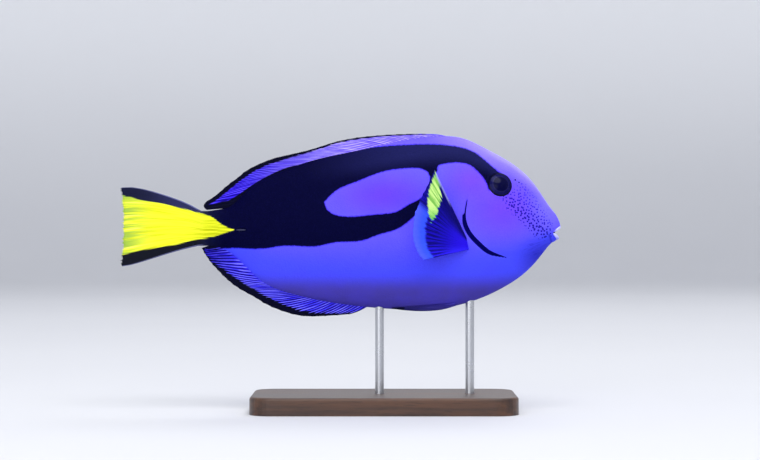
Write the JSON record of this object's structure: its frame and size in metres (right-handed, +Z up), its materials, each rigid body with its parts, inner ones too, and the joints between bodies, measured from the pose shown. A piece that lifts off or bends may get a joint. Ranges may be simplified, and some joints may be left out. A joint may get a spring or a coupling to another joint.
{
  "type": "regal blue tang model",
  "caption": "Still, life-size display model of a regal blue tang with folded dorsal fin and raised pectoral fins, held level on a flat base by short rods.",
  "frame": {"origin": "on the floor under the middle of the whole model, at the bottom of its box", "axes": "+X towards the fish's snout, -Y towards its right flank, +Z up"},
  "size_m": [0.2005, 0.06, 0.1257],
  "materials": {
    "skin_blue": "satin painted skin with fine scales",
    "skin_black": "satin painted skin with fine scales",
    "fin_blue": "thin ribbed fin with a dark margin",
    "fin_yellow": "thin ribbed fin with dark upper and lower bands",
    "eye_dark": "polished dark eye",
    "spine_bone": "smooth",
    "base_wood": "dark stain, satin lacquer",
    "rod_steel": "satin"
  },
  "bodies": {
    "root": {"head": "skin_blue", "lower_jaw": "skin_blue", "gill_cover_right": "skin_blue", "gill_cover_left": "skin_blue", "trunk": "skin_blue", "peduncle": "skin_black", "dorsal_fin": "fin_blue", "anal_fin": "fin_blue", "caudal_fin": "fin_yellow", "pectoral_fin_right": "fin_blue", "pectoral_fin_left": "fin_blue", "pelvic_fin_right": "fin_blue", "pelvic_fin_left": "fin_blue", "eye_right": "eye_dark", "eye_left": "eye_dark", "tail_spine_right": "spine_bone", "tail_spine_left": "spine_bone", "stand_base": "base_wood", "stand_rod_front": "rod_steel", "stand_rod_rear": "rod_steel"}
  },
  "joints": []
}
